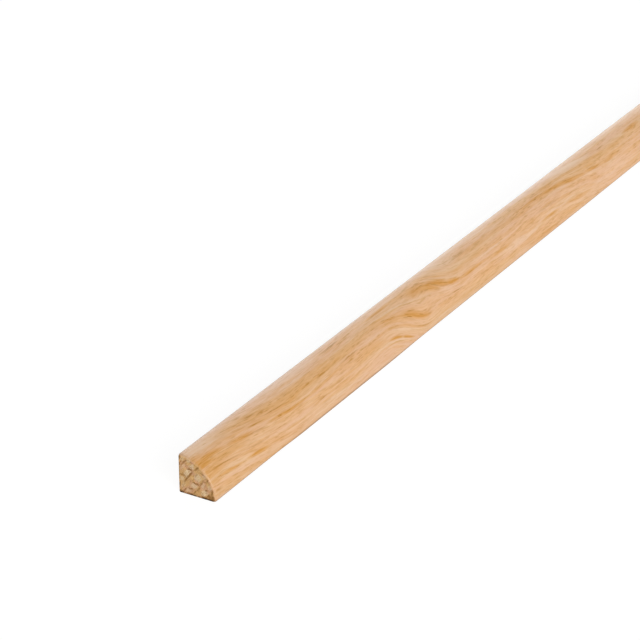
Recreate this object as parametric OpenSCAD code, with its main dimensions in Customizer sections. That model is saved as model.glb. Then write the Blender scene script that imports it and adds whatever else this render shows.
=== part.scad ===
// Quarter round moulding: one length of light hardwood, planed to a quarter-circle section.
// Millimetres. The stock lies along X on its bottom flat, and its back flat faces +Y.
// The origin is under the middle of the stock, on the surface that it lies on.

/* [Section] */
// Width of the bottom flat and of the back flat, which is also the radius of the rounded face
leg = 19; // [12:0.5:30]
// Radius that eases the square corner between the two flats
corner_ease = 0.6; // [0.2:0.1:1.5]
// Radius that eases the front arris, where the rounded face meets the bottom flat
front_ease = 1.0; // [0.2:0.1:1.5]
// Radius that eases the top arris, where the rounded face meets the back flat
top_ease = 0.5; // [0.2:0.1:1.5]

/* [Length] */
// Length of the stock, sawn square at both ends
stock_length = 2438; // [300:1:4880]

/* [Hidden] */

$fn = 180;
// How far a cutting shape runs past the surface that it trims
past = 1;
// An easing circle is this much oversize, so that it crosses the faces beside it
// where it would otherwise only touch them
graze = 0.001;

// The section looks along the stock from its -X end, with the square corner at [0, 0].
// The back flat runs up from there and the bottom flat runs to the left.
module full_section() {
    intersection() {
        circle(r = leg);
        translate([-leg, 0]) square(leg);
    }
}

// What easing takes off a corner: the wedge beyond the rays from centre through ray_a and
// ray_b, as far out as tip, less the easing circle
module eased_waste(centre, radius, ray_a, tip, ray_b) {
    difference() {
        polygon([centre, ray_a, tip, ray_b]);
        translate(centre) circle(r = radius + graze);
    }
}

// The square corner between the flats
module corner_waste() {
    eased_waste(
        centre = [-corner_ease, corner_ease],
        radius = corner_ease,
        ray_a = [-corner_ease, -past],
        tip = [past, -past],
        ray_b = [past, corner_ease]
    );
}

// The arris where the rounded face meets the bottom flat. Its circle lies inside the rounded
// face and on the flat, so its centre is ease off the flat and reach along it from the corner.
module arris_waste(ease) {
    reach = sqrt(leg * leg - 2 * leg * ease);
    centre = [-reach, ease];
    eased_waste(
        centre = centre,
        radius = ease,
        ray_a = [-reach, -past],
        tip = [-leg - past, -past],
        ray_b = centre * (leg + past) / (leg - ease)
    );
}

module quarter_round_section() {
    difference() {
        full_section();
        corner_waste();
        arris_waste(front_ease);
        // The top arris lies across the section's line of symmetry
        mirror([1, 1]) arris_waste(top_ease);
    }
}

module moulding() {
    color([0.87, 0.69, 0.50])
        translate([-stock_length / 2, leg / 2, 0])
            rotate([90, 0, 90])
                linear_extrude(height = stock_length) quarter_round_section();
}

moulding();
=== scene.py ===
import bisect
import math

import bmesh
import bpy
from mathutils import Matrix, Quaternion, Vector, noise


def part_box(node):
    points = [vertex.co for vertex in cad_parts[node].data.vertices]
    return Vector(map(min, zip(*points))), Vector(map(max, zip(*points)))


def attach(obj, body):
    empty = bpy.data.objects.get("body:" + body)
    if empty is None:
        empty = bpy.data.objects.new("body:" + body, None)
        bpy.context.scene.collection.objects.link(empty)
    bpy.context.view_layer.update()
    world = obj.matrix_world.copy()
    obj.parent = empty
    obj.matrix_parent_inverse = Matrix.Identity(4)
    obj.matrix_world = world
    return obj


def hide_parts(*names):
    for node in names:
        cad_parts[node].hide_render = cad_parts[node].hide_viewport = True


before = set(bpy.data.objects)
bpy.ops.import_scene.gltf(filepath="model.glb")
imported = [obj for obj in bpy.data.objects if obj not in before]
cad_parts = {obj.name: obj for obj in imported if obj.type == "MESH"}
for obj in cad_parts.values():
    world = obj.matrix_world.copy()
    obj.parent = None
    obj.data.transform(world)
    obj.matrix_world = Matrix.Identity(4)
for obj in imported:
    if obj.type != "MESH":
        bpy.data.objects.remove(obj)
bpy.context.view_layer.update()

# A length of light hardwood quarter round, lying on its bottom flat on a pale studio floor.
# Metres throughout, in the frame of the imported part, except where a name ends in _mm.

moulding_low, moulding_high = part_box("moulding")

MM = 0.001

# The stock
near_end = moulding_low.x
length = moulding_high.x - moulding_low.x
back = moulding_high.y
sole = moulding_low.z
leg = moulding_high.z - moulding_low.z
leg_mm = leg / MM

# The section's mesh
CORNER_EASE = 0.6 * MM
FRONT_EASE = 1.0 * MM
TOP_EASE = 0.5 * MM
EASE_SEGMENTS = 4
ARC_STEPS = 24
FLAT_STEPS = 12
SLICES = 1500
# Edges that turn more sharply than this show as creases
CREASE = math.radians(50)
# The sawn ends, whose rims are worn round: little at the flats and most at the rounded face,
# because they shrink towards a point this share of the leg from both flats
RIM_EASE = 1.0 * MM
RIM_STEPS = 4
HEART = 0.13
RIM_MARGIN = 0.3 * MM
SAW_GRID = 0.6 * MM
SAW_DEPTH = 0.18 * MM
# The saw's marks to the metre, how much closer they lie up the stock than across it, and the
# tears to the metre
KERFS = 400
KERF_STRETCH = 6
TEARS = 1100
# Points nearer than this to a cut lie on it
ON_THE_CUT = 1e-7
# How far the moulder's cutter wanders into the rounded face and its arrises, how far out from
# the square corner that begins and is whole, in legs, and its waves to the metre
CUTTER_WANDER = 0.12 * MM
WANDER_FROM, WANDER_WHOLE = 0.9, 0.985
LONG_WAVES = 14
SHORT_WAVES = 60
# The stretch over which the front arris is crisper, and how fast it gets so and stops being so
CRISP_EASE = 0.25 * MM
CRISP_FROM = (50 * MM, 75 * MM)
CRISP_TO = (148 * MM, 190 * MM)
# What lies within this of the front arris's centre, and no nearer to the square corner than
# that centre by more than the slack, belongs to the arris
ARRIS_REACH = 1.02 * FRONT_EASE
ARRIS_SLACK = 0.01 * MM


def ease(value, start, end):
    """0 before start, 1 after end, and a smooth rise between them."""
    share = min(1.0, max(0.0, (value - start) / (end - start)))
    return share * share * (3 - 2 * share)


# Shape


def draw_section(bm):
    """The section at the near end: the bottom flat, the quarter circle and the back flat, eased.

    The cuts in the two flats split it into strips that run from flat to flat.
    """
    corner = bmesh.ops.create_vert(bm, co=(near_end, back, sole))["vert"][0]
    toe = bmesh.ops.create_vert(bm, co=(near_end, back - leg, sole))["vert"][0]
    bottom_flat = bm.edges.new((corner, toe))
    turned = bmesh.ops.spin(
        bm, geom=[toe], cent=corner.co, axis=(1, 0, 0), angle=-math.pi / 2,
        steps=ARC_STEPS, use_duplicate=False,
    )
    crest = turned["geom_last"][0]
    back_flat = bm.edges.new((crest, corner))
    bmesh.ops.contextual_create(bm, geom=bm.edges[:])
    for vert, radius in ((corner, CORNER_EASE), (toe, FRONT_EASE), (crest, TOP_EASE)):
        bmesh.ops.bevel(
            bm, geom=[vert], offset=radius, affect="VERTICES",
            segments=EASE_SEGMENTS, profile=0.5, material=-1,
        )
    long_sides = [e for e in bm.edges if e.calc_length() > leg / 2]
    bmesh.ops.subdivide_edges(bm, edges=long_sides, cuts=FLAT_STEPS - 1)


def heading(point):
    """Where a point lies round the section, as a turn about its middle."""
    middle = (math.sqrt(2) - 1) * leg
    return math.atan2(point.z - sole - middle, back - point.y - middle)


def measure_girth(bm):
    """The headings of the section's points in order, how far round each lies, and the whole."""
    points = sorted((v.co.copy() for v in bm.verts), key=heading)
    distances = [0.0]
    for before, after in zip(points, points[1:] + points[:1]):
        distances.append(distances[-1] + (after - before).length)
    headings = [heading(p) for p in points]
    return headings + [headings[0] + 2 * math.pi], distances


def distance_round(point, headings, distances):
    """How far round the section a point lies from the first heading."""
    turn = heading(point)
    if turn < headings[0]:
        turn += 2 * math.pi
    k = min(bisect.bisect_right(headings, turn), len(headings) - 1) - 1
    share = (turn - headings[k]) / (headings[k + 1] - headings[k])
    return distances[k] + share * (distances[k + 1] - distances[k])


def run_out(bm):
    """The section drawn out to the full length, its sawn rims worn round, in short slices."""
    heart_to_face = (1 - HEART * math.sqrt(2)) * leg
    rim = []
    for k in range(RIM_STEPS + 1):
        turn = math.pi / 2 * k / RIM_STEPS
        size = 1 - RIM_EASE * (1 - math.sin(turn)) / heart_to_face
        rim.append((RIM_EASE * (1 - math.cos(turn)), size))
    stations = rim + [(length - distance, size) for distance, size in reversed(rim)]
    to_heart = Matrix.Translation((0, HEART * leg - back, -sole - HEART * leg))
    section = bm.faces[:]
    verts = bm.verts[:]
    reached, shown = 0.0, 1.0
    for distance, size in stations:
        if distance > reached:
            drawn = bmesh.ops.extrude_face_region(bm, geom=section)["geom"]
            if reached:
                bmesh.ops.delete(bm, geom=section, context="FACES_ONLY")
            section = [g for g in drawn if isinstance(g, bmesh.types.BMFace)]
            verts = [g for g in drawn if isinstance(g, bmesh.types.BMVert)]
            bmesh.ops.translate(bm, verts=verts, vec=(distance - reached, 0, 0))
        bmesh.ops.scale(bm, verts=verts, vec=(1, size / shown, size / shown), space=to_heart)
        reached, shown = distance, size
    # The edges where a deleted section's strips met stay behind
    loose = [e for e in bm.edges if not e.link_faces]
    bmesh.ops.delete(bm, geom=loose, context="EDGES")
    bmesh.ops.recalc_face_normals(bm, faces=bm.faces[:])
    long_edges = [e for e in bm.edges if e.calc_length() > length / 2]
    bmesh.ops.subdivide_edges(bm, edges=long_edges, cuts=SLICES - 1, use_grid_fill=True)


def saw_end(bm, outwards):
    """One sawn end: its largest part, along the rounded face, is cut into a fine grid,
    which the saw's marks roughen inwards. The strips between the flats stay smooth.
    """
    side = max(bm.faces, key=lambda f: f.calc_center_median().x * outwards + f.calc_area())
    bmesh.ops.inset_region(bm, faces=[side], thickness=RIM_MARGIN)
    inner = [side] + side.edges[:] + side.verts[:]
    rim = set(side.verts)
    cuts = int(leg / SAW_GRID)
    for k in range(1, cuts):
        for place, across in (
            ((0, back - k * SAW_GRID, 0), (0, 1, 0)),
            ((0, 0, sole + k * SAW_GRID), (0, 0, 1)),
        ):
            inner = bmesh.ops.bisect_plane(
                bm, geom=inner, dist=ON_THE_CUT, plane_co=place, plane_no=across
            )["geom"]
    for vert in [v for v in inner if isinstance(v, bmesh.types.BMVert) and v not in rim]:
        kerf = noise.noise(Vector((0, vert.co.y, vert.co.z * KERF_STRETCH)) * KERFS)
        tear = noise.noise(Vector((outwards, vert.co.y, vert.co.z)) * TEARS)
        vert.co.x -= outwards * SAW_DEPTH * (0.5 + 0.3 * kerf + 0.2 * tear)


def easing_centre(radius):
    """Centre of an arris's easing circle: out from the back flat and up from the bottom flat."""
    return Vector((math.sqrt(leg * leg - 2 * leg * radius), radius))


def sharpen_front_arris(bm):
    """The sander took less off one stretch of the front arris."""
    eased = easing_centre(FRONT_EASE)
    for vert in bm.verts:
        along = vert.co.x - near_end
        share = ease(along, *CRISP_FROM) * (1 - ease(along, *CRISP_TO))
        spoke = Vector((back - vert.co.y, vert.co.z - sole)) - eased
        if share and spoke.x > -ARRIS_SLACK and spoke.length < ARRIS_REACH:
            radius = FRONT_EASE + (CRISP_EASE - FRONT_EASE) * share
            place = easing_centre(radius) + spoke * radius / FRONT_EASE
            vert.co.y, vert.co.z = back - place.x, sole + place.y


def wander(bm):
    """The rounded face and its arrises follow a cutter that never runs quite straight."""
    for vert in bm.verts:
        out = Vector((back - vert.co.y, vert.co.z - sole))
        turn = math.atan2(out.x, out.y)
        share = ease(out.length, WANDER_FROM * leg, WANDER_WHOLE * leg)
        if not share:
            continue
        long_wave = noise.noise(Vector((vert.co.x * LONG_WAVES, turn * 0.8, 3)))
        short_wave = noise.noise(Vector((vert.co.x * SHORT_WAVES, turn * 2.5, 9)))
        depth = CUTTER_WANDER * share * (0.5 + 0.35 * long_wave + 0.15 * short_wave)
        out *= 1 - depth / out.length
        vert.co.y, vert.co.z = back - out.x, sole + out.y


# The bake's map: the stock's four quarters one above the other, and the ends beside them

QUARTERS = 4
MAP_EDGE = 0.012
QUARTER_HEIGHT = 0.215
QUARTER_PITCH = 0.227
END_SIZE = 0.075
# A face that looks along the stock by more than this belongs to an end
END_FACING = 0.7


def lay_out_end(face, layer):
    """A face of a sawn end, in that end's own square of the map."""
    far = face.calc_center_median().x > near_end + length / 2
    left = MAP_EDGE + (END_SIZE + MAP_EDGE) * far
    for loop in face.loops:
        across = (back - loop.vert.co.y) / leg
        up = (loop.vert.co.z - sole) / leg
        loop[layer].uv = (left + across * END_SIZE, 1 - END_SIZE - MAP_EDGE + up * END_SIZE)


def lay_out_side(face, layer, headings, distances):
    """A face along the stock, in its quarter's band: along the stock and round the section."""
    whole_girth = distances[-1]
    middle = face.calc_center_median()
    quarter = min(QUARTERS - 1, int((middle.x - near_end) / length * QUARTERS))
    rounds = [distance_round(loop.vert.co, headings, distances) for loop in face.loops]
    for loop, round_it in zip(face.loops, rounds):
        if max(rounds) - round_it > whole_girth / 2:
            round_it += whole_girth
        along = (loop.vert.co.x - near_end) / length * QUARTERS - quarter
        loop[layer].uv = (
            MAP_EDGE + along * (1 - 2 * MAP_EDGE),
            MAP_EDGE + quarter * QUARTER_PITCH + round_it / whole_girth * QUARTER_HEIGHT,
        )


def lay_out_bake_map(bm, headings, distances):
    layer = bm.loops.layers.uv.new("OFBake")
    for face in bm.faces:
        if abs(face.normal.x) > END_FACING:
            lay_out_end(face, layer)
        else:
            lay_out_side(face, layer, headings, distances)


def make_moulding():
    bm = bmesh.new()
    draw_section(bm)
    headings, distances = measure_girth(bm)
    run_out(bm)
    saw_end(bm, -1)
    saw_end(bm, 1)
    sharpen_front_arris(bm)
    wander(bm)
    bmesh.ops.recalc_face_normals(bm, faces=bm.faces[:])
    lay_out_bake_map(bm, headings, distances)
    for edge in bm.edges:
        edge.smooth = edge.calc_face_angle(math.pi) < CREASE
    for face in bm.faces:
        face.smooth = True
    mesh = bpy.data.meshes.new("quarter_round")
    bm.to_mesh(mesh)
    bm.free()
    piece = bpy.data.objects.new("quarter_round", mesh)
    bpy.context.scene.collection.objects.link(piece)
    return piece


# Materials


def colour(red, green, blue):
    """A colour as a picture shows it, 0 to 255, made linear."""
    def linear(value):
        value /= 255
        return value / 12.92 if value <= 0.04045 else ((value + 0.055) / 1.055) ** 2.4
    return (linear(red), linear(green), linear(blue), 1)


class Pen:
    """Draws nodes into one material's tree."""

    def __init__(self, tree):
        self.tree = tree

    def node(self, kind, inputs=(), **settings):
        made = self.tree.nodes.new("ShaderNode" + kind)
        for name, value in settings.items():
            setattr(made, name, value)
        for name, value in dict(inputs).items():
            self.feed(made.inputs[name], value)
        return made

    def feed(self, socket, value):
        if isinstance(value, bpy.types.NodeSocket):
            self.tree.links.new(value, socket)
        else:
            socket.default_value = value

    def maths(self, operation, *values):
        made = self.node("Math", operation=operation)
        for socket, value in zip(made.inputs, values):
            self.feed(socket, value)
        return made.outputs[0]

    def vectors(self, operation, first, second=(0, 0, 0)):
        """Works on vectors alone, with no change of kind, which a long shader has no room for."""
        made = self.node("VectorMath", {0: first, 1: second}, operation=operation)
        return made.outputs["Value" if operation in ("LENGTH", "DOT_PRODUCT") else "Vector"]

    def place(self, vector, location=(0, 0, 0), scale=(1, 1, 1), rotation=(0, 0, 0)):
        inputs = {"Vector": vector, "Location": location, "Scale": scale, "Rotation": rotation}
        return self.node("Mapping", inputs).outputs[0]

    def combine(self, x, y, z):
        return self.node("CombineXYZ", {"X": x, "Y": y, "Z": z}).outputs[0]

    def ramp(self, value, start, end, low=0.0, high=1.0):
        inputs = {"Value": value, "From Min": start, "From Max": end, "To Min": low, "To Max": high}
        return self.node("MapRange", inputs, interpolation_type="SMOOTHSTEP").outputs["Result"]

    def noise(self, vector, stretch, detail=2.0, roughness=0.5, offset=(0, 0, 0)):
        """Noise whose blots are about stretch long along each axis."""
        spot = self.place(vector, offset, tuple(1 / s for s in stretch))
        inputs = {"Vector": spot, "Scale": 1.0, "Detail": detail, "Roughness": roughness}
        return self.node("TexNoise", inputs).outputs[0]

    def cells(self, vector, stretch, output="Distance", offset=(0, 0, 0)):
        spot = self.place(vector, offset, tuple(1 / s for s in stretch))
        return self.node("TexVoronoi", {"Vector": spot, "Scale": 1.0}).outputs[output]

    def mix(self, share, first, second, blend_type="MIX"):
        made = self.node("Mix", data_type="RGBA", blend_type=blend_type)
        self.feed(made.inputs[0], share)
        self.feed(made.inputs[6], first)
        self.feed(made.inputs[7], second)
        return made.outputs[2]


PEACH = colour(227, 181, 133)
ROSE = colour(230, 183, 145)
CREAM = colour(236, 204, 172)
GOLD = colour(219, 156, 68)
BROWN = colour(206, 140, 46)
FLECK = colour(206, 152, 82)
STRAW = colour(242, 200, 156)
# A pale tint for painted sheen below the top arris
SHEEN_PALE = colour(230, 203, 186)
PORE = colour(186, 126, 26)
# A dark brown for painted shade along the front arris and on the worn rims of the ends, also
# darkening the top arris beside the back flat
EDGE_SHADE = colour(172, 132, 94)
END_TAN = colour(232, 184, 122)
END_ROSE = colour(230, 177, 132)
END_PALE = colour(248, 224, 184)
END_BROWN = colour(152, 100, 40)
# Painted contact shade and dirt for the ends' bottom edge and their edge by the back flat
END_SHADE_AND_DIRT = colour(56, 38, 12)

# Where the grain dips towards the front arris on its way along the stock, in millimetres:
# start and end from the near end, and how far it dips (below 0: rises)
DIPS_BEYOND = [
    (335, 415, 5.6), (560, 640, -5), (760, 820, 6), (1010, 1060, -4), (1250, 1300, 7),
    (1540, 1640, -6), (1800, 1860, 5), (2050, 2120, -4), (2250, 2300, 6),
]
UPPER_DIPS = [(0, 76, 6.6), (110, 150, -0.7), (202, 236, 9), (235, 285, 0.8)] + DIPS_BEYOND
LOWER_DIPS = [(0, 76, 6.6), (110, 150, -0.7), (156, 196, 11), (200, 285, 0.5)] + DIPS_BEYOND
# The arc between these angles, from the top arris down, passes from the upper to the lower dips
UPPER_TO_LOWER = (8, 78)

# Streaks of figure on the rounded face: distance from the near end in millimetres, degrees
# down from the top arris, length and width in millimetres, and strength
BROWN_STREAKS = [
    (3, 34, 18, 5.0, 0.8), (2, 20, 12, 4.0, 0.5), (5, 50, 18, 4.8, 0.4),
    (3, 64, 12, 3.4, 0.3), (8, 30, 30, 3.4, 0.9), (31, 38, 20, 3.2, 0.8),
    (70, 49, 34, 2.2, 0.7), (60, 34, 130, 5.4, 0.3),
    (15, 63, 22, 1.8, 0.7), (38, 69, 18, 2.0, 1.0), (165, 14, 26, 1.8, 0.8),
    (199, 21, 22, 3.4, 0.8), (205, 26, 18, 3.0, 0.9), (208, 31, 16, 3.0, 0.9),
    (217, 38, 20, 2.8, 1.0), (226, 47, 16, 2.6, 1.0), (246, 52, 34, 1.8, 0.8),
    (275, 57, 30, 2.0, 0.5),
    (167, 35, 14, 1.6, 0.6), (185, 54, 28, 2.2, 0.9), (164, 63, 14, 1.8, 1.0),
    (173, 73, 11, 1.8, 1.0), (329, 25, 44, 1.8, 0.8), (345, 21, 16, 3.4, 0.6),
    (352, 29, 44, 2.6, 0.9), (372, 38, 34, 2.2, 0.8), (392, 43, 22, 1.8, 0.8),
    (412, 48, 34, 1.8, 0.5), (332, 62, 24, 1.8, 0.7), (365, 66, 36, 2.0, 0.5),
    (322, 81, 40, 2.4, 0.6), (452, 27, 22, 2.6, 0.9), (478, 38, 26, 2.4, 0.6),
]
# Places where the figure fades out into pale wood, in the same terms
PALE_CLOUDS = [
    (8, 13, 44, 5.0, 0.8), (228, 14, 46, 6.0, 0.9), (374, 13, 52, 5.4, 0.9), (92, 11, 40, 4.0, 0.5),
]
# The darkest lines of open pores, in the same terms
PORE_LINES = [
    (45, 36, 12, 1.0, 1.0), (61, 35, 18, 0.9, 1.0), (42, 44, 16, 0.9, 0.7),
    (13, 51, 26, 0.9, 0.9), (38, 58, 18, 0.9, 0.7), (59, 60, 14, 0.7, 0.6),
    (93, 64, 9, 1.0, 0.8), (110, 61, 8, 0.9, 0.6), (102, 37, 10, 1.2, 0.9),
    (122, 12, 17, 1.8, 1.0), (126, 42, 18, 1.2, 0.9), (40, 12, 6, 1.2, 0.8),
    (46, 21, 9, 1.2, 0.8), (53, 27, 6, 1.2, 0.8), (4, 75, 6, 1.2, 0.9),
    (246, 21, 18, 1.4, 0.7), (233, 17, 8, 0.8, 0.5), (226, 64, 16, 0.8, 0.9),
    (190, 75, 20, 0.8, 0.7), (335, 46, 30, 1.6, 0.5), (413, 23, 10, 0.9, 0.9),
    (363, 54, 14, 0.8, 0.6), (387, 84, 8, 1.0, 0.8),
]


def dip_along(pen, along, dips):
    """How far the grain has dipped, in millimetres, at a distance from the near end."""
    total = 0.0
    for start, end, depth in dips:
        total = pen.maths("ADD", total, pen.ramp(along, start, end, 0.0, depth))
    return total


def grain_round(distance_mm, degrees):
    """Where a point of the rounded face lies across the grain, as the material reckons it."""
    upper, lower = (
        sum(depth * ease(distance_mm, start, end) for start, end, depth in dips)
        for dips in (UPPER_DIPS, LOWER_DIPS)
    )
    share = ease(degrees, *UPPER_TO_LOWER)
    return math.radians(degrees) * leg_mm - (upper + (lower - upper) * share)


def follow_grain(pen, section):
    """The section's millimetres bent to follow the grain: along it, round the face, and depth."""
    split = pen.node("SeparateXYZ", {"Vector": section})
    along, out, up = split.outputs
    turn = pen.maths("ARCTAN2", out, up)
    depth = pen.maths("SQRT", pen.maths("ADD", pen.maths("MULTIPLY", out, out),
                                        pen.maths("MULTIPLY", up, up)))
    upper = dip_along(pen, along, UPPER_DIPS)
    lower = dip_along(pen, along, LOWER_DIPS)
    share = pen.ramp(turn, *(math.radians(a) for a in UPPER_TO_LOWER))
    dip = pen.maths("ADD", upper, pen.maths("MULTIPLY", share, pen.maths("SUBTRACT", lower, upper)))
    across = pen.maths("SUBTRACT", pen.maths("MULTIPLY", turn, leg_mm), dip)
    wobble = pen.noise(pen.combine(along, across, depth), (26, 3.5, 4), 1.0)
    across = pen.maths("ADD", across, pen.maths("MULTIPLY", pen.maths("SUBTRACT", wobble, 0.5), 1.6))
    return pen.combine(along, across, depth)


def draw_streaks(pen, grain, streaks):
    """The strongest of a list of spindle-shaped streaks at each point."""
    strongest = 0.0
    for distance, degrees, long, wide, strength in streaks:
        size = (long / 2, wide / 2, 3.0)
        centre = (distance, grain_round(distance, degrees), leg_mm)
        spot = pen.place(grain, tuple(-c / s for c, s in zip(centre, size)),
                         tuple(1 / s for s in size))
        mark = pen.ramp(pen.vectors("LENGTH", spot), 1.25, 0.25, 0.0, strength)
        strongest = pen.maths("MAXIMUM", strongest, mark)
    return strongest


# The sawn end's marks, read from the near end: millimetres out from the back flat and up from
# the bottom flat, degrees up from level, length, width and strength
RAY_ANGLE = 52
PALE_BLOCKS = [
    (5.2, 17.0, 40, 2.3, 1.9, 0.7), (6.8, 14.2, 30, 2.8, 2.3, 0.9), (4.3, 10.6, 55, 4.2, 2.5, 1.0),
    (9.9, 9.6, 48, 3.8, 3.2, 0.9), (7.8, 5.4, 35, 3.3, 2.6, 0.9), (5.0, 2.4, 20, 3.0, 1.9, 0.6),
    (13.0, 2.9, 30, 3.5, 2.6, 1.0), (15.9, 6.4, 60, 2.4, 2.0, 0.6), (1.6, 7.4, 10, 2.2, 1.9, 0.7),
    (1.8, 17.2, 50, 2.2, 1.8, 0.5), (13.4, 11.4, 50, 2.6, 1.9, 0.5), (2.2, 13.4, 55, 2.8, 1.3, 0.5),
    (12.6, 6.6, 58, 2.6, 1.5, 0.6), (2.2, 4.0, 55, 3.0, 1.5, 0.5),
]
BROWN_MARKS = [
    (5.1, 9.2, 54, 7.5, 0.9, 1.0), (5.9, 12.7, 2, 2.6, 0.9, 1.0), (8.8, 6.6, -12, 3.4, 0.9, 1.0),
    (9.6, 14.3, 46, 4.2, 0.9, 0.8), (8.9, 10.6, 62, 2.2, 0.7, 0.5), (11.8, 7.6, 58, 3.6, 0.9, 0.6),
    (15.0, 1.9, 55, 3.4, 1.2, 1.0), (17.3, 4.6, 68, 4.0, 1.0, 0.9), (2.6, 15.4, 48, 4.6, 0.8, 0.8),
    (1.9, 9.2, -8, 3.0, 0.9, 0.8), (10.3, 4.5, 56, 3.2, 0.8, 0.8), (6.0, 3.4, -6, 2.2, 0.9, 0.8),
    (14.1, 4.6, 20, 1.2, 0.9, 0.8), (14.9, 9.6, 60, 2.4, 0.7, 0.8), (12.0, 12.2, -20, 2.2, 0.8, 0.6),
    (3.4, 6.6, 50, 2.4, 0.8, 0.7), (0.9, 14.8, 70, 2.6, 0.7, 0.7), (3.0, 2.0, 55, 3.0, 0.7, 0.6),
    (7.4, 8.0, 56, 2.4, 0.6, 0.5), (8.0, 1.8, 50, 2.6, 0.8, 0.7), (13.8, 8.6, -10, 2.0, 0.7, 0.5),
    (13.4, 0.9, 0, 4.2, 1.0, 1.0), (16.8, 1.4, 15, 3.6, 2.6, 1.0), (5.6, 0.8, 0, 2.8, 0.8, 1.0),
    (1.6, 1.0, 0, 2.6, 1.0, 0.8), (0.7, 18.0, 80, 2.2, 0.8, 0.8), (0.6, 4.4, 85, 3.0, 0.6, 0.7),
]


def draw_end_marks(pen, flat, marks):
    """The strongest of a list of marks at each point of the ends, the same at both."""
    strongest = 0.0
    for out, up, degrees, long, wide, strength in marks:
        right, rise = math.cos(math.radians(degrees)), math.sin(math.radians(degrees))
        centred = pen.vectors("SUBTRACT", flat, (0, out, up))
        along = pen.vectors("DOT_PRODUCT", centred, (0, right * 2 / long, rise * 2 / long))
        across = pen.vectors("DOT_PRODUCT", centred, (0, -rise * 2 / wide, right * 2 / wide))
        spot = pen.combine(along, across, 0.0)
        square = pen.vectors("MULTIPLY", spot, spot)
        mark = pen.ramp(pen.vectors("LENGTH", square), 1.6, 0.3, 0.0, strength)
        strongest = pen.maths("MAXIMUM", strongest, mark)
    return strongest


def sawn_end(pen, section):
    """Colour of the sawn ends: pale blocks of fibre between rays and rings of open pores."""
    flat = pen.place(section, scale=(0, 1, 1))
    rough = pen.noise(flat, (1, 1.3, 1.3), 2.0)
    nudge = pen.maths("MULTIPLY", pen.maths("SUBTRACT", rough, 0.5), 1.5)
    bent = pen.vectors("ADD", flat, pen.combine(0.0, nudge, nudge))
    turned = pen.place(flat, rotation=(math.radians(-RAY_ANGLE), 0, 0))
    rays = pen.noise(turned, (1, 2.6, 0.42), 2.0)
    rings = pen.noise(turned, (1, 0.42, 1.8), 2.0)
    grit = pen.noise(turned, (1, 0.9, 0.45), 3.0, 0.6, (2, 4, 1))
    blush = pen.noise(flat, (1, 4, 4), 1.0)
    sawn = pen.mix(pen.ramp(blush, 0.42, 0.6), END_TAN, END_ROSE)
    sawn = pen.mix(pen.ramp(rays, 0.46, 0.26, 0, 0.35), sawn, END_PALE)
    pale = pen.maths("MULTIPLY", draw_end_marks(pen, bent, PALE_BLOCKS),
                     pen.ramp(grit, 0.65, 0.4, 0.3, 0.8))
    sawn = pen.mix(pale, sawn, END_PALE)
    sawn = pen.mix(pen.ramp(rays, 0.52, 0.74, 0, 0.5), sawn, END_BROWN)
    sawn = pen.mix(pen.ramp(rings, 0.54, 0.76, 0, 0.4), sawn, END_BROWN)
    sawn = pen.mix(pen.ramp(grit, 0.5, 0.7, 0, 0.3), sawn, END_BROWN)
    sawn = pen.mix(pen.ramp(grit, 0.45, 0.28, 0, 0.25), sawn, END_PALE)
    brown = pen.maths("MULTIPLY", draw_end_marks(pen, bent, BROWN_MARKS),
                      pen.ramp(grit, 0.3, 0.5, 0.35, 0.8))
    sawn = pen.mix(brown, sawn, END_BROWN)
    out, up = pen.node("SeparateXYZ", {"Vector": flat}).outputs[1:]
    # Painted shade and dirt: darker along the end's bottom edge, where it meets the floor, and along
    # its edge by the back flat
    low = pen.maths("MULTIPLY", pen.ramp(up, 1.4, 0.3), pen.ramp(rough, 0.35, 0.6, 0.35, 1))
    left = pen.maths("MULTIPLY", pen.ramp(out, 1.0, 0.2), pen.ramp(rough, 0.4, 0.65, 0.1, 0.6))
    return pen.mix(pen.maths("MAXIMUM", low, left), sawn, END_SHADE_AND_DIRT)


def paint_sheen_and_shade(pen, section, face):
    """The face's colour with painted sheen, paler below the top arris, painted contact shade along
    the front arris, and darker along the top arris beside the back flat.
    """
    out, up = pen.node("SeparateXYZ", {"Vector": section}).outputs[1:]
    # Painted contact shade along the front arris, where the stock meets the floor, and darker along
    # the top arris beside the back flat
    front = pen.maths("MULTIPLY", pen.ramp(up, 1.3, 0.4), pen.ramp(out, 17.4, 18.2))
    top = pen.maths("MULTIPLY", pen.ramp(out, 1.2, 0.3, 0.0, 0.6), pen.ramp(up, 18.0, 18.6))
    shaded_edges = pen.maths("MAXIMUM", front, top)
    turn = pen.maths("ARCTAN2", out, up)
    # Painted sheen: the face turns paler towards the top arris
    face = pen.mix(pen.ramp(turn, math.radians(15), 0.0, 0.0, 0.34), face, SHEEN_PALE)
    return pen.mix(shaded_edges, face, EDGE_SHADE)


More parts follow.
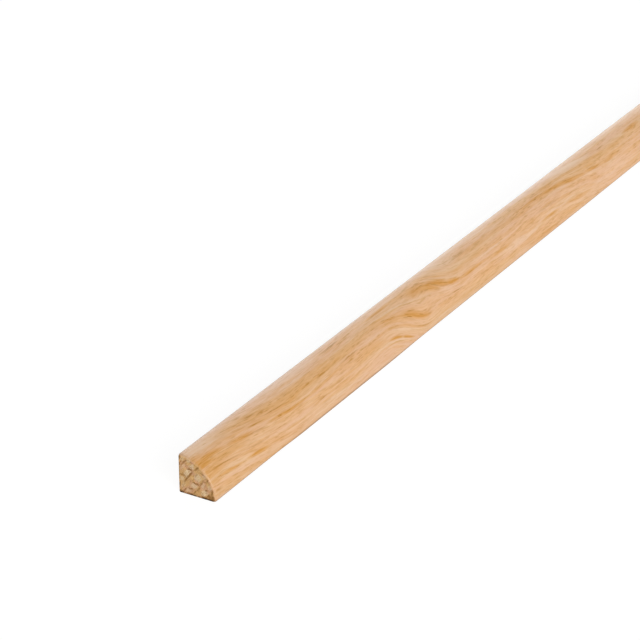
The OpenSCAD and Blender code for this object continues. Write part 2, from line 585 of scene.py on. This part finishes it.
def planed_face(pen, section):
    """Colour of the planed faces, with the fibres and the pore dashes that roughen them."""
    grain = follow_grain(pen, section)
    band = pen.noise(grain, (150, 2.6, 4.0), 3.0, 0.55)
    cast = pen.noise(grain, (110, 7, 9), 2.0, 0.5, (5, 3, 1))
    cloud = pen.noise(grain, (45, 3.2, 5.0), 2.0, 0.5, (2, 6, 2))
    strand = pen.noise(grain, (24, 1.5, 2.0), 2.0, 0.55, (7, 7, 7))
    fleck = pen.noise(grain, (10, 0.72, 1.0), 2.5, 0.6, (3, 8, 4))
    fibre = pen.noise(grain, (4, 0.35, 0.5), 2.0, 0.6)
    browns = draw_streaks(pen, grain, BROWN_STREAKS)
    pores_drawn = draw_streaks(pen, grain, PORE_LINES)
    rows = pen.maths("MAXIMUM", pen.ramp(band, 0.48, 0.64), pen.ramp(cloud, 0.5, 0.65))
    dash = pen.ramp(pen.cells(grain, (6.5, 0.7, 0.9)), 0.36, 0.16)
    face = pen.mix(pen.ramp(cast, 0.35, 0.65), PEACH, ROSE)
    face = pen.mix(pen.ramp(cloud, 0.48, 0.30, 0.0, 0.4), face, CREAM)
    face = pen.mix(pen.ramp(strand, 0.50, 0.30, 0.0, 0.3), face, STRAW)
    face = pen.mix(pen.maths("MULTIPLY", rows, 0.34), face, GOLD)
    face = pen.mix(pen.ramp(strand, 0.50, 0.70, 0.0, 0.35), face, GOLD)
    face = pen.mix(pen.ramp(fleck, 0.46, 0.32, 0.0, 0.35), face, STRAW)
    face = pen.mix(pen.maths("MULTIPLY", browns, 0.8), face, GOLD)
    busy = pen.maths("ADD", pen.maths("MULTIPLY", rows, 0.4), 0.36)
    face = pen.mix(pen.maths("MULTIPLY", pen.ramp(fleck, 0.52, 0.66), busy), face, FLECK)
    face = pen.mix(pen.ramp(fibre, 0.50, 0.72, 0.0, 0.2), face, PORE)
    face = pen.mix(pen.maths("MULTIPLY", browns, pen.ramp(fleck, 0.4, 0.62, 0.1, 0.9)), face, BROWN)
    clouded = pen.maths("MULTIPLY", draw_streaks(pen, grain, PALE_CLOUDS), 0.55)
    face = pen.mix(clouded, face, CREAM)
    sown = pen.maths("MULTIPLY", dash, pen.maths("ADD", pen.maths("MULTIPLY", rows, 0.5),
                                               pen.maths("MULTIPLY", browns, 0.7)))
    lines = pen.maths("MULTIPLY", pores_drawn, pen.ramp(fibre, 0.35, 0.55, 0.35, 1.0))
    face = pen.mix(pen.maths("MINIMUM", pen.maths("MAXIMUM", sown, lines), 1.0), face, PORE)
    return paint_sheen_and_shade(pen, section, face), fibre, sown


def sanded_hardwood():
    material = bpy.data.materials.new("sanded_hardwood")
    material.use_nodes = True
    tree = material.node_tree
    tree.nodes.clear()
    pen = Pen(tree)
    place = pen.node("TexCoord")
    section = pen.place(
        place.outputs["Object"],
        (-near_end / MM, back / MM, -sole / MM),
        (1 / MM, -1 / MM, 1 / MM),
    )
    face, fibre, sown = planed_face(pen, section)
    sawn = sawn_end(pen, section)
    facing = pen.node("SeparateXYZ", {"Vector": place.outputs["Normal"]}).outputs[0]
    is_end = pen.ramp(pen.maths("ABSOLUTE", facing), 0.75, 0.97)
    # Painted shade on the worn rims, where the faces turn towards the sawn ends
    rim_shade = pen.ramp(pen.maths("ABSOLUTE", facing), 0.1, 0.5, 0.0, 0.25)
    skin = pen.mix(is_end, pen.mix(rim_shade, face, EDGE_SHADE), sawn)

    height = pen.maths("ADD", pen.maths("MULTIPLY", fibre, 0.3),
                       pen.maths("MULTIPLY", sown, -0.8))
    bump = pen.node("Bump", {"Height": height, "Strength": 0.12, "Distance": 0.15 * MM})
    shader = pen.node("BsdfPrincipled", {
        "Base Color": skin, "Roughness": pen.ramp(is_end, 0, 1, 0.42, 0.8), "IOR": 1.5,
        "Specular IOR Level": pen.ramp(is_end, 0, 1, 0.5, 0.15), "Normal": bump.outputs[0],
    })
    output = pen.node("OutputMaterial")
    tree.links.new(shader.outputs[0], output.inputs["Surface"])
    return material


# The studio

FLOOR_SIZE = 120
KEY_LEVEL = 2.4
BACK_LEVEL = 1.2
SKY_LEVEL = 0.26
# How much of the floor's own light and shade the camera sees; the rest is plain white
FLOOR_SHADE = 0.18
FLOOR_LIT = 0.55
# The grey with which the floor lights the stock
FLOOR_GREY = 0.62
# Where each lamp shines from, and how wide it looks, in degrees
KEY_FROM = (-0.6, -1.0, 0.5)
BACK_FROM = (0.82, 0.51, 0.25)
LAMP_SOFTNESS = 40


def floor_white():
    """A pale floor that shows white where nothing shades it."""
    material = bpy.data.materials.new("floor_white")
    material.use_nodes = True
    tree = material.node_tree
    tree.nodes.clear()
    pen = Pen(tree)
    path = pen.node("LightPath")
    seen = pen.maths("MAXIMUM", path.outputs["Is Camera Ray"], path.outputs["Is Glossy Ray"])
    chalk = pen.node("BsdfDiffuse", {"Color": (FLOOR_GREY, FLOOR_GREY, FLOOR_GREY, 1)}).outputs[0]
    shade = pen.node("BsdfDiffuse", {"Color": (FLOOR_SHADE, FLOOR_SHADE, FLOOR_SHADE, 1)}).outputs[0]
    glow = pen.node("Emission", {"Color": (1, 1, 1, 1), "Strength": 1 - FLOOR_SHADE * FLOOR_LIT})
    shown = pen.node("AddShader")
    tree.links.new(shade, shown.inputs[0])
    tree.links.new(glow.outputs[0], shown.inputs[1])
    choice = pen.node("MixShader", {"Fac": seen})
    tree.links.new(chalk, choice.inputs[1])
    tree.links.new(shown.outputs[0], choice.inputs[2])
    tree.links.new(choice.outputs[0], pen.node("OutputMaterial").inputs["Surface"])
    return material


def lay_floor():
    bm = bmesh.new()
    bmesh.ops.create_grid(bm, x_segments=1, y_segments=1, size=FLOOR_SIZE / 2)
    bmesh.ops.translate(bm, verts=bm.verts[:], vec=(0, 0, sole))
    mesh = bpy.data.meshes.new("studio_floor")
    bm.to_mesh(mesh)
    bm.free()
    floor = bpy.data.objects.new("studio_floor", mesh)
    bpy.context.scene.collection.objects.link(floor)
    mesh.materials.append(floor_white())


def hang_sky():
    world = bpy.data.worlds.new("studio_sky")
    bpy.context.scene.world = world
    world.use_nodes = True
    tree = world.node_tree
    tree.nodes.clear()
    pen = Pen(tree)
    path = pen.node("LightPath")
    seen = pen.maths("MAXIMUM", path.outputs["Is Camera Ray"], path.outputs["Is Glossy Ray"])
    seen = pen.maths("MAXIMUM", seen, path.outputs["Is Transmission Ray"])
    level = pen.ramp(seen, 0.0, 1.0, SKY_LEVEL, 1.0)
    sky = pen.node("Background", {"Color": (1, 1, 1, 1), "Strength": level})
    tree.links.new(sky.outputs[0], pen.node("OutputWorld").inputs["Surface"])


def add_lamp(name, level, comes_from):
    """A far, soft lamp that shines from a direction."""
    lamp = bpy.data.lights.new(name, "SUN")
    lamp.energy = level
    lamp.angle = math.radians(LAMP_SOFTNESS)
    holder = bpy.data.objects.new(name, lamp)
    holder.rotation_mode = "QUATERNION"
    holder.rotation_quaternion = Vector(comes_from).to_track_quat("Z", "Y")
    bpy.context.scene.collection.objects.link(holder)


CAMERA_PLACE = Vector((-1.9928, -0.5250, 0.5434))
CAMERA_AIM = Vector((-1.0421, 0.0435, 0.0))
CAMERA_ROLL = math.radians(-0.28)
CAMERA_LENS_MM = 139.73


def set_camera():
    data = bpy.data.cameras.new("camera")
    data.sensor_width = 36
    data.lens = CAMERA_LENS_MM
    data.clip_start, data.clip_end = 0.05, 200
    camera = bpy.data.objects.new("camera", data)
    level = (CAMERA_AIM - CAMERA_PLACE).to_track_quat("-Z", "Y")
    camera.rotation_mode = "QUATERNION"
    camera.rotation_quaternion = level @ Quaternion((0, 0, 1), CAMERA_ROLL)
    camera.location = CAMERA_PLACE
    bpy.context.scene.collection.objects.link(camera)
    bpy.context.scene.camera = camera


set_camera()
bpy.context.scene.view_settings.view_transform = "Standard"
hang_sky()
add_lamp("key_lamp", KEY_LEVEL, KEY_FROM)
add_lamp("back_lamp", BACK_LEVEL, BACK_FROM)
lay_floor()

moulding = make_moulding()
moulding.data.materials.append(sanded_hardwood())
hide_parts("moulding")
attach(moulding, "root")
